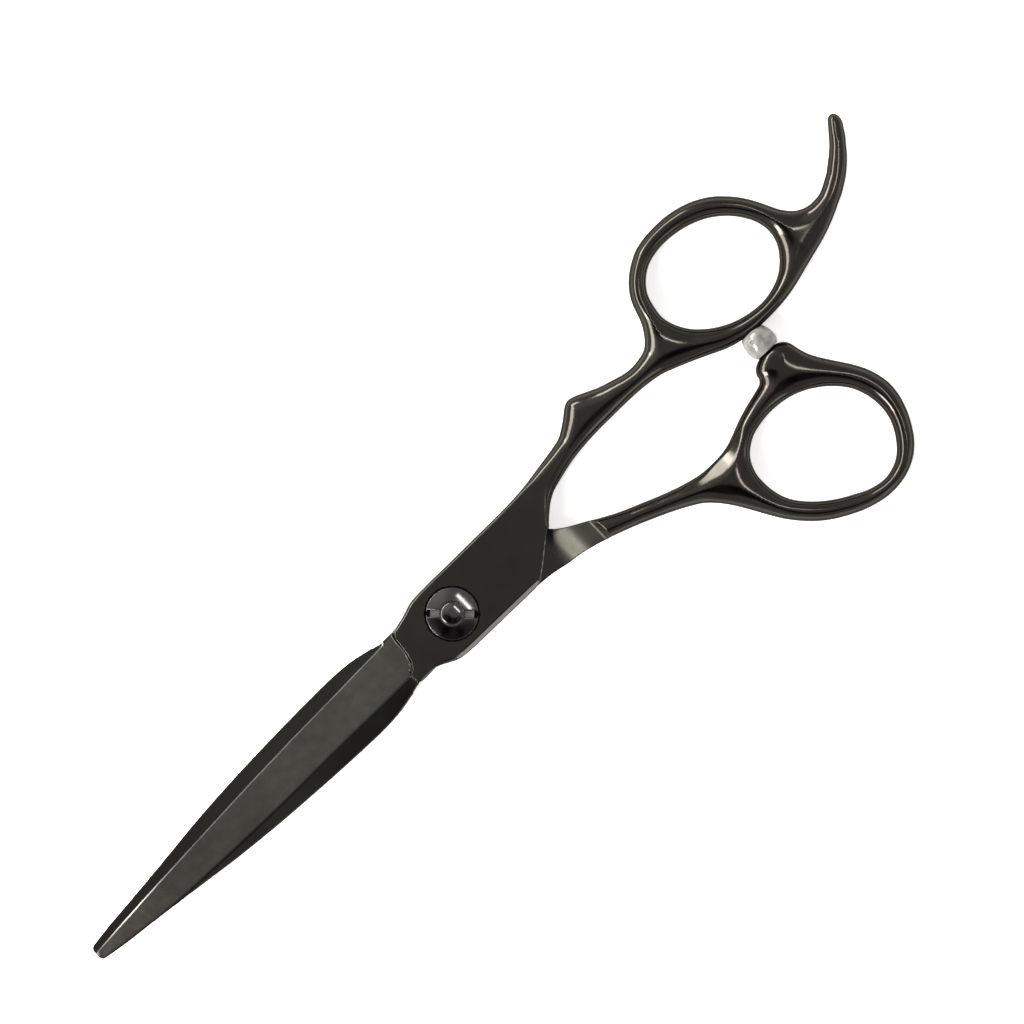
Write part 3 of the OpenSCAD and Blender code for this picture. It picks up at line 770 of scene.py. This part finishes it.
def steel(name, dark, light, rough_low, rough_high, scratch=0.02, stretch=(1, 1, 1), mottle=90.0, band=None,
          bevel=None):
    """Coated steel: slow changes of tone, finer changes of gloss, and faint polishing lines.
    band is X where extra roughness starts and ends, in metres, and how much it is. bevel is the colour of
    the ground bevel."""
    m, nodes, links, bsdf = new_material(name)
    bsdf.inputs["Metallic"].default_value = 1.0
    bsdf.inputs["Specular Tint"].default_value = GRAZING
    place = nodes.new("ShaderNodeTexCoord")
    colour = tone_ramp(nodes, links, place, mottle, 0.55, 0.35, dark, 0.68, light)
    if bevel:
        facing = nodes.new("ShaderNodeNewGeometry")
        split = nodes.new("ShaderNodeSeparateXYZ")
        links.new(facing.outputs["Normal"], split.inputs["Vector"])
        lean = combine(nodes, links, "ABSOLUTE", split.outputs["Z"])
        edges = [map_range(nodes, links, lean, start, end) for start, end in BEVEL_LEAN]
        mix = nodes.new("ShaderNodeMix")
        mix.data_type = "RGBA"
        links.new(combine(nodes, links, "MULTIPLY", *edges), mix.inputs["Factor"])
        links.new(colour, mix.inputs["A"])
        mix.inputs["B"].default_value = (*bevel, 1)
        colour = mix.outputs["Result"]
    links.new(colour, bsdf.inputs["Base Color"])
    gloss = noise(nodes, links, place.outputs["Object"], 700.0, 4.0, 0.6)
    rough = map_range(nodes, links, gloss, 0.3, 0.7, rough_low, rough_high)
    if band:
        split = nodes.new("ShaderNodeSeparateXYZ")
        links.new(place.outputs["Object"], split.inputs["Vector"])
        ends = [map_range(nodes, links, split.outputs["X"], start, end, smooth=True)
                for start, end in (band[0:2], band[3:1:-1])]
        extra = combine(nodes, links, "MULTIPLY", combine(nodes, links, "MULTIPLY", *ends), band[4])
        rough = combine(nodes, links, "ADD", rough, extra)
    links.new(rough, bsdf.inputs["Roughness"])
    lines = nodes.new("ShaderNodeMapping")
    lines.inputs["Scale"].default_value = stretch
    links.new(place.outputs["Object"], lines.inputs["Vector"])
    grain = noise(nodes, links, lines.outputs["Vector"], 1500.0, 3.0, 0.6)
    relief(nodes, links, bsdf, grain, scratch)
    return m


COAT_DARK = (0.033, 0.029, 0.026)
COAT_LIGHT = (0.039, 0.039, 0.033)
polished = steel("black_polished_steel", COAT_DARK, COAT_LIGHT, 0.1, 0.16)
pad_steel = steel("black_pad_steel", COAT_DARK, COAT_LIGHT, 0.1, 0.16,
                  bevel=(0.066, 0.064, 0.062))
facet_steel = steel("black_facet_steel", COAT_DARK, COAT_LIGHT, 0.1, 0.16,
                    band=(-0.0256, -0.0251, -0.0185, -0.0165, 0.3))
satin = steel("black_satin_steel", (0.031, 0.028, 0.025), (0.036, 0.036, 0.031), 0.13, 0.18,
              scratch=0.06, stretch=(0.06, 1, 1))
honed = steel("honed_edge_steel", (0.07, 0.07, 0.068), (0.1, 0.1, 0.097), 0.22, 0.34,
              scratch=0.1, stretch=(1, 0.1, 1))
nut_steel = steel("black_nut_steel", (0.066, 0.06, 0.062), (0.08, 0.076, 0.077), 0.08, 0.13, mottle=260.0)
milled = steel("milled_slot_steel", (0.1, 0.095, 0.095), (0.14, 0.135, 0.133), 0.3, 0.4, mottle=400.0)
# Near-black steel: painted shade where the gaps and the deep slot ends fall dark, not a finish of the metal
painted_shade_steel = steel("painted_shade_slot_steel", (0.0015, 0.0014, 0.0014), (0.003, 0.0028, 0.0028), 0.5, 0.7,
                   mottle=600.0)
bearing = steel("bearing_steel", (0.5, 0.5, 0.51), (0.6, 0.6, 0.6), 0.12, 0.25, scratch=0.1)
race_steel = steel("dark_race_steel", (0.012, 0.012, 0.012), (0.022, 0.022, 0.021), 0.3, 0.45, scratch=0.1)


def plastic(name, dark, light, rough, through=0.0):
    """Moulded plastic or silicone: a slightly uneven body colour under a fine moulded skin."""
    m, nodes, links, bsdf = new_material(name)
    place = nodes.new("ShaderNodeTexCoord")
    colour = tone_ramp(nodes, links, place, 450.0, 0.5, 0.3, dark, 0.7, light)
    links.new(colour, bsdf.inputs["Base Color"])
    bsdf.inputs["Roughness"].default_value = rough
    bsdf.inputs["IOR"].default_value = 1.42
    bsdf.inputs["Transmission Weight"].default_value = through
    relief(nodes, links, bsdf, noise(nodes, links, place.outputs["Object"], 2500.0, 3.0, 0.6), 0.15)
    return m


nylon = plastic("washer_nylon", (0.72, 0.71, 0.66), (0.8, 0.79, 0.75), 0.45)
silicone = plastic("bumper_silicone", (0.11, 0.112, 0.103), (0.32, 0.324, 0.307), 0.14, through=0.35)

for name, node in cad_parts.items():
    if name in ("pivot_stud", "tension_nut"):
        look = nut_steel
    elif name in ("ball_cage", "pivot_bushing", "slip_washer"):
        look = nylon
    elif name.endswith("_race"):
        look = race_steel
    elif name.startswith("ball_") or name.endswith("_washer"):
        look = bearing
    else:
        look = silicone if name == "bumper" else polished
    node.data.materials.clear()
    node.data.materials.append(look)

# ---------------------------------------------------------------- the two halves

# Size of the cells that the halves are meshed with
GRID = 0.22
# Numbers of the materials of a blade; the last is near-black painted shade on the counterbore wall
PAD, FLAT, HONE, WALL_SHADE = range(4)


def build_half(field, low, high):
    """The handle and the pad of a half, cut apart at the weld."""
    verts, faces = solid_mesh(field, low, high, GRID)
    return split_at(verts, faces, WELD_X, True), split_at(verts, faces, WELD_X, False)


def finish_piece(obj, body, node):
    """The piece moves with a body and stands for a node."""
    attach(obj, body)
    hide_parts(node)
    return obj


front_handle, front_pad = build_half(front_field, (-95.2, -21.6, -0.1), (11.3, 6.4, 5.7))
rear_handle, rear_pad = build_half(rear_field, (-72.6, -6.4, -0.3), (11.3, 33.6, 5.5))

parts = field_part(Parts(), front_field, *front_handle, cap_normal=(1, 0, 0))
finish_piece(parts.object("handle_finger", [polished]), "front_half", "finger_handle")

verts, faces, caps = front_pad


def on_bore_wall(face):
    """True on the wall of the nut's counterbore, which gets near-black painted shade."""
    corners = verts[face]
    lowest = corners[:, 2].min()
    near = abs(math.hypot(*corners.mean(0)[:2]) - COUNTERBORE_R) < 0.2
    return near and FRONT_LOW + 0.1 < lowest < FRONT_HIGH - 0.02


parts = field_part(Parts(), front_field, verts, faces, caps, cap_normal=(-1, 0, 0),
                   slot=[WALL_SHADE if on_bore_wall(f) else PAD for f in faces])
blade_part(parts, place_front, slot=FLAT, hone_slot=HONE)
finish_piece(parts.object("blade_front", [pad_steel, satin, honed, painted_shade_steel]), "front_half", "front_blade")

parts = field_part(Parts(), rear_field, *rear_handle, cap_normal=(1, 0, 0))
finish_piece(parts.object("handle_thumb", [facet_steel]), "rear_half", "thumb_handle")

parts = field_part(Parts(), rear_field, *rear_pad, cap_normal=(-1, 0, 0))
blade_part(parts, place_rear, slot=FLAT, hone_slot=HONE)
finish_piece(parts.object("blade_rear", [facet_steel, satin, honed]), "rear_half", "rear_blade")

# ---------------------------------------------------------------- tension nut and stud end

nut_low, nut_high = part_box("tension_nut")
NUT_Z = nut_low.z / MM
NUT_TOP = nut_high.z / MM
NUT_R = nut_high.x / MM
STUD_R = 1.75
SLOT_WIDTH = 1.1
SLOT_FLOOR = NUT_TOP - 0.6
# The slot is deeper beyond this radius
NOTCH_R = 3.4
NOTCH_DEPTH = 0.3
BORE_R = STUD_R + 0.06
# Radius of the low dome of the nut's face, and its height above the slotted rim
CROWN_R = 15.0
CROWN_RISE = 0.12
# Numbers of the nut's materials; the last is near-black painted shade for the slot's deep ends and the rim
FACE, GROOVE, NOTCH_SHADE = range(3)


def nut_field(x, y, z):
    """Field of the nut: a domed disc with a bore and a slot across it."""
    r = np.sqrt(x * x + y * y)
    across = (x + y) / math.sqrt(2)
    crown = NUT_TOP + CROWN_RISE - (CROWN_R - np.sqrt(CROWN_R ** 2 - np.minimum(r, 5) ** 2))
    out = smooth_max((z - crown) * 0.95, r - (NUT_R - 0.02), 0.05)
    out = smooth_max(out, NUT_Z + 0.02 - z, 0.05)
    out = smooth_max(out, BORE_R - r, 0.14)
    deep = SLOT_FLOOR - NOTCH_DEPTH * (r > NOTCH_R)
    groove = np.maximum(np.abs(across) - SLOT_WIDTH / 2, deep - z)
    return smooth_max(out, -groove, 0.1)


verts, faces = solid_mesh(nut_field, (-4.1, -4.1, 5.05), (4.1, 4.1, 6.5), 0.1)
middle = verts[faces].mean(1)
reach = np.hypot(middle[:, 0], middle[:, 1])
height = middle[:, 2]
in_slot = (height < SLOT_FLOOR + 0.06) & (height > NUT_Z + 0.1)
in_slot &= (reach < NUT_R - 0.1) & (reach > BORE_R + 0.1)
# the deep ends of the slot get near-black painted shade
slots = np.where(in_slot, np.where(reach > NOTCH_R - 0.05, NOTCH_SHADE, GROOVE), FACE)
# the faces round the rim get the same painted shade, a dark ring round the nut
slots[reach > NUT_R - 0.05] = NOTCH_SHADE
parts = field_part(Parts(), nut_field, verts, faces.tolist(), slot=slots.tolist())
finish_piece(parts.object("nut_slotted", [nut_steel, milled, painted_shade_steel]), "nut", "tension_nut")

stud_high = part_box("pivot_stud")[1]
STUD_TOP = stud_high.z / MM
DOME_R = 6.0
JOURNAL_R = REAR_BORE_R
SPRING_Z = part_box("spring_washer")[0].z / MM
NECK_TOP = NUT_Z + 0.3
# The stud from below: lowest and highest place, radius and half width over the flats
STUD_STEPS = [
    (0.0, HEAD_T, stud_high.x / MM, THROUGH),
    (HEAD_T - 0.3, REAR_TOP + 0.3, JOURNAL_R, JOURNAL_R - 0.35),
    (REAR_TOP, SPRING_Z, JOURNAL_R, THROUGH),
    (SPRING_Z - 0.3, NECK_TOP + 0.2, STUD_R, STUD_R - 0.3),
    (NECK_TOP, THROUGH, STUD_R, THROUGH)]


def stud_field(x, y, z):
    """Field of the stud: its steps under a domed end."""
    r = np.sqrt(x * x + y * y)
    dome = STUD_TOP - (DOME_R - np.sqrt(DOME_R ** 2 - np.minimum(r, 5) ** 2))
    out = None
    for low, high, radius, flat in STUD_STEPS:
        step = smooth_max(np.maximum(r - radius, np.abs(x) - flat), np.maximum(low - z, z - high), 0.06)
        out = step if out is None else np.minimum(out, step)
    return smooth_max(out, z - dome, 0.16)


verts, faces = solid_mesh(stud_field, (-3.8, -3.8, -0.1), (3.8, 3.8, 7.0), 0.11)
parts = field_part(Parts(), stud_field, verts, faces.tolist())
finish_piece(parts.object("stud_domed", [nut_steel]), "rear_half", "pivot_stud")


# ---------------------------------------------------------------- spring washer

spring_low, spring_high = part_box("spring_washer")
SPRING_OUT = spring_high.x / MM
SPRING_IN = STUD_R + 0.2
SPRING_T = 0.14
SPRING_TURNS = 96


def ring_part(parts, profile):
    """Adds a ring: a closed profile of (radius, height), turned round the pivot axis."""
    n = len(profile)
    verts, faces, normals = [], [], []
    for i in range(SPRING_TURNS):
        a = math.tau * i / SPRING_TURNS
        verts += [(r * math.cos(a), r * math.sin(a), z) for r, z in profile]
        for j in range(n):
            k, m = (j + 1) % n, (i + 1) % SPRING_TURNS
            faces.append([i * n + j, i * n + k, m * n + k, m * n + j])
            (r0, z0), (r1, z1) = profile[j], profile[k]
            out_r, out_z = z0 - z1, r1 - r0
            size = math.hypot(out_r, out_z)
            corner = []
            for turn in (i, i, m, m):
                b = math.tau * turn / SPRING_TURNS
                corner.append((out_r * math.cos(b) / size, out_r * math.sin(b) / size, out_z / size))
            normals.append(corner)
    return parts.add(verts, faces, normals)


cone = spring_high.z / MM - spring_low.z / MM - SPRING_T
EASE = 0.03
parts = Parts()
ring_part(parts, [
    (SPRING_IN, SPRING_Z + cone + EASE), (SPRING_IN, SPRING_Z + cone + SPRING_T - EASE),
    (SPRING_IN + EASE, SPRING_Z + cone + SPRING_T), (SPRING_OUT - EASE, SPRING_Z + SPRING_T),
    (SPRING_OUT, SPRING_Z + SPRING_T - EASE), (SPRING_OUT, SPRING_Z + EASE),
    (SPRING_OUT - EASE, SPRING_Z), (SPRING_IN + EASE, SPRING_Z + cone)])
spring = parts.object("spring_conical", [bearing])
finish_piece(spring, "rear_half", "spring_washer")
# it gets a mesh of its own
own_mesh(spring)

# ---------------------------------------------------------------- bumper

boss_low, boss_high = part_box("bumper")
BUMPER_X = (boss_low.x + boss_high.x) / 2 / MM
BUMPER_Z = (boss_low.z + boss_high.z) / 2 / MM
# Radius of the bumper along Y, from the end on the finger ring to the plug in the boss
BUMPER_Y = [0.2, 0.3, 0.45, 0.7, 1.0, 1.4, 1.9, 2.5, 3.3, 3.6, 3.8, 4.0, 4.2, 4.5]
BUMPER_R = [0.3, 1.0, 1.45, 1.82, 2.07, 2.27, 2.44, 2.56, 2.6, 2.57, 2.5, 2.4, 2.25, 2.1]
PLUG_R = 1.2
PLUG_Y = 4.2
PLUG_END = 6.8
END_Y, BASE_Y = 0.2, 4.52
# Shallow flutes round the widest part, and the moulding dimple: its place from the axis and its radius
FLUTES, FLUTE_DEPTH, FLUTE_Y, FLUTE_SPREAD = 10, 0.07, 3.45, 0.35
DIMPLE, DIMPLE_R = (1.0, 1.9, 2.35), 0.42


def bumper_field(x, y, z):
    """Field of the bumper: a soft round body and the plug that holds it in the boss."""
    dx, dz = x - BUMPER_X, z - BUMPER_Z
    r = np.sqrt(dx * dx + dz * dz)
    turn = np.arctan2(dz, dx)
    flute = FLUTE_DEPTH * (0.5 + 0.5 * np.cos(FLUTES * turn)) * np.exp(-((y - FLUTE_Y) / FLUTE_SPREAD) ** 2)
    radius = np.interp(y, BUMPER_Y, BUMPER_R) - flute
    body = smooth_max((r - radius) * 0.8, np.maximum(END_Y - y, y - BASE_Y), 0.15)
    # the soft end lies against the finger ring
    body = smooth_max(body, 0.05 - front_field(x, y, z), 0.08)
    dimple = np.sqrt((dx - DIMPLE[0]) ** 2 + ((y - DIMPLE[1]) * 1.3) ** 2 + (dz - DIMPLE[2]) ** 2) - DIMPLE_R
    body = smooth_max(body, -dimple, 0.1)
    plug = smooth_max(r - PLUG_R, np.maximum(PLUG_Y - y, y - PLUG_END), 0.12)
    return np.minimum(body, plug)


verts, faces = solid_mesh(
    bumper_field, (BUMPER_X - 2.7, 0.1, BUMPER_Z - 2.7), (BUMPER_X + 2.7, 6.9, BUMPER_Z + 2.7), 0.12)
parts = field_part(Parts(), bumper_field, verts, faces.tolist())
finish_piece(parts.object("bumper_soft", [silicone]), "rear_half", "bumper")

# ---------------------------------------------------------------- floor, camera and light

# Half its width
size = 3.0
mesh = bpy.data.meshes.new("floor")
mesh.from_pydata([(-size, -size, 0), (size, -size, 0), (size, size, 0), (-size, size, 0)], [], [(0, 1, 2, 3)])
floor = bpy.data.objects.new("floor", mesh)
floor.location.z = -0.0002
bpy.context.scene.collection.objects.link(floor)
m, nodes, links, bsdf = new_material("floor_paper")
bsdf.inputs["Roughness"].default_value = 0.9
bsdf.inputs["Specular IOR Level"].default_value = 0.1
bsdf.inputs["Emission Color"].default_value = (1, 1, 1, 1)
bsdf.inputs["Emission Strength"].default_value = 0.45
colour = tone_ramp(nodes, links, nodes.new("ShaderNodeTexCoord"), 6.0, 0.5, 0.0, (0.9, 0.9, 0.9),
                   1.0, (0.93, 0.93, 0.93), detail=2.0)
links.new(colour, bsdf.inputs["Base Color"])
mesh.materials.append(m)

# What the camera looks at and how much of it, in metres. It looks straight down.
CENTRE = Vector((-0.0172, -0.0048, 0.004))
VIEW_WIDTH = 0.1551
DISTANCE = 1.3
right = Vector((-0.720, 0.694, 0)).normalized()
up = Vector((0, 0, 1)).cross(right)
camera_data = bpy.data.cameras.new("camera")
camera_data.sensor_width = 36
camera_data.lens = 36 * DISTANCE / VIEW_WIDTH
camera_data.clip_start = 0.01
camera = bpy.data.objects.new("camera", camera_data)
camera.matrix_world = Matrix.Translation(CENTRE + Vector((0, 0, DISTANCE))) @ Matrix(
    (right, up, Vector((0, 0, 1)))).transposed().to_4x4()
bpy.context.scene.collection.objects.link(camera)
bpy.context.scene.camera = camera


LIGHT_DISTANCE = 0.9


def toward(azimuth, polar):
    """Direction from an angle round Z and an angle from Z, in degrees."""
    a, p = math.radians(azimuth), math.radians(polar)
    return Vector((math.sin(p) * math.cos(a), math.sin(p) * math.sin(a), math.cos(p)))


def softbox(name, azimuth, polar, wide, tall, radiance, colour):
    """Area light that faces the origin and looks as bright as radiance."""
    light = bpy.data.lights.new(name, "AREA")
    light.shape = "RECTANGLE"
    light.size = wide
    light.size_y = tall
    light.energy = radiance * math.pi * wide * tall
    light.color = colour
    obj = bpy.data.objects.new(name, light)
    direction = toward(azimuth, polar)
    turn = direction.to_track_quat("Z", "Y").to_matrix().to_4x4()
    obj.matrix_world = Matrix.Translation(direction * LIGHT_DISTANCE) @ turn
    bpy.context.scene.collection.objects.link(obj)


softbox("key_box", -45, 46, 1.02, 0.28, 14.0, (1.0, 0.97, 0.92))
softbox("side_box", 0, 43, 0.28, 0.32, 30.0, (1.0, 0.98, 0.95))
softbox("back_box", -93, 56, 0.56, 0.2, 17.0, (1.0, 0.98, 0.95))
softbox("strip_box", 180, 19, 0.37, 0.055, 17.0, (1.0, 0.98, 0.97))

world = bpy.data.worlds.new("studio")
bpy.context.scene.world = world
world.use_nodes = True
nodes, links = world.node_tree.nodes, world.node_tree.links
background = nodes["Background"]
place = nodes.new("ShaderNodeTexCoord")


def lobe(azimuth, polar, inner, outer, low, high):
    """A value that goes from low outside a cone to high inside it. All angles are in degrees."""
    dot = nodes.new("ShaderNodeVectorMath")
    dot.operation = "DOT_PRODUCT"
    dot.inputs[1].default_value = toward(azimuth, polar)
    links.new(place.outputs["Generated"], dot.inputs[0])
    start, end = math.cos(math.radians(outer)), math.cos(math.radians(inner))
    return map_range(nodes, links, dot.outputs["Value"], start, end, low, high, smooth=True)


glow = lobe(0, 0, 60, 84, 0.95, 0.5)
for operation, value in (
        # bright patches that the handles and the pad reflect
        ("ADD", lobe(-90, 40, 12, 28, 0.0, 0.45)),
        ("ADD", lobe(90, 71, 5, 12, 0.0, 1.7)),
        ("ADD", lobe(128, 71, 5, 12, 0.0, 1.0)),
        # dark gaps between them
        ("MULTIPLY", lobe(0, 22, 9, 18, 1.0, 0.12)),
        ("MULTIPLY", lobe(45, 24, 9, 18, 1.0, 0.15)),
        ("MULTIPLY", lobe(88, 27, 7, 16, 1.0, 0.25)),
        ("MULTIPLY", 1.5)):
    glow = combine(nodes, links, operation, glow, value)
links.new(glow, background.inputs["Strength"])
background.inputs["Color"].default_value = (1.0, 0.99, 0.97, 1)

bpy.context.scene.view_settings.view_transform = "Standard"
